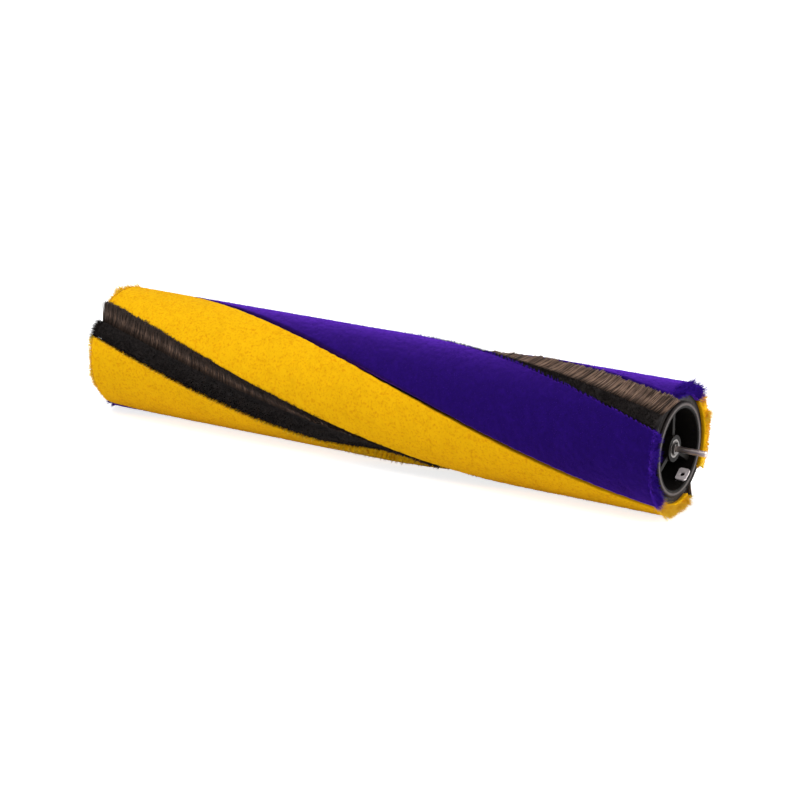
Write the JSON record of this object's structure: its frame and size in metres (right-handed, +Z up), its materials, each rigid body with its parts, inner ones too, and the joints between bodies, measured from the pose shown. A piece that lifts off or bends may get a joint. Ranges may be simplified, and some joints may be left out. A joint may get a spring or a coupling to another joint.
{
  "type": "vacuum roller brush",
  "caption": "Soft roller brush for a vacuum cleaner head: a tube wound with helical pile and bristle strips, turning on an axle pin at one end and open to a drive motor at the other.",
  "frame": {"origin": "on the roller's axis, in the outer face of the motor end collar", "axes": "+X along the axis towards the axle pin, +Z up as the roller lies on its pile"},
  "size_m": [0.2336, 0.044, 0.0436],
  "materials": {
    "tube_plastic": "dark moulded plastic",
    "yellow_pile": "short dense golden pile",
    "purple_pile": "short dense violet pile",
    "bristle": "brown-grey filaments on black tape",
    "collar_plastic": "grey moulded plastic",
    "drive_plastic": "black moulded plastic",
    "axle_steel": "ground steel",
    "bearing_steel": "polished bearing steel",
    "pressed_steel": "pressed sheet steel",
    "spring_steel": "bright spring steel"
  },
  "bodies": {
    "axle": {"axle": "axle_steel", "bearing_spacer": "axle_steel", "front_inner_race": "bearing_steel", "rear_inner_race": "bearing_steel", "front_shim": "spring_steel", "rear_shim": "spring_steel", "front_e_ring": "spring_steel", "rear_e_ring": "spring_steel"},
    "roller": {"core_tube": "tube_plastic", "wide_yellow_pile": "yellow_pile", "narrow_purple_pile": "purple_pile", "wide_purple_pile": "purple_pile", "narrow_yellow_pile": "yellow_pile", "bristle_strip_beside_yellow": "bristle", "bristle_strip_beside_purple": "bristle", "motor_end_collar": "collar_plastic", "bearing_carrier": "collar_plastic", "drive_plate": "drive_plastic", "balance_clip": "spring_steel", "front_outer_race": "bearing_steel", "rear_outer_race": "bearing_steel", "front_inward_shield": "pressed_steel", "front_outward_shield": "pressed_steel", "rear_inward_shield": "pressed_steel", "rear_outward_shield": "pressed_steel"},
    "front_cage": {"front_balls": "bearing_steel", "front_ball_cage": "pressed_steel"},
    "rear_cage": {"rear_balls": "bearing_steel", "rear_ball_cage": "pressed_steel"}
  },
  "joints": [
    {"name": "roller_spin", "type": "hinge", "parent": "axle", "child": "roller", "pos_m": [0.2197, 0, 0], "axis": [1, 0, 0], "continuous": true},
    {"name": "front_cage_spin", "type": "hinge", "parent": "axle", "child": "front_cage", "pos_m": [0.2197, 0, 0], "axis": [1, 0, 0], "continuous": true},
    {"name": "rear_cage_spin", "type": "hinge", "parent": "axle", "child": "rear_cage", "pos_m": [0.2031, 0, 0], "axis": [1, 0, 0], "continuous": true}
  ],
  "couplings": [
    {"joint": "front_cage_spin", "follows": "roller_spin", "ratio": 0.625},
    {"joint": "rear_cage_spin", "follows": "roller_spin", "ratio": 0.625}
  ]
}
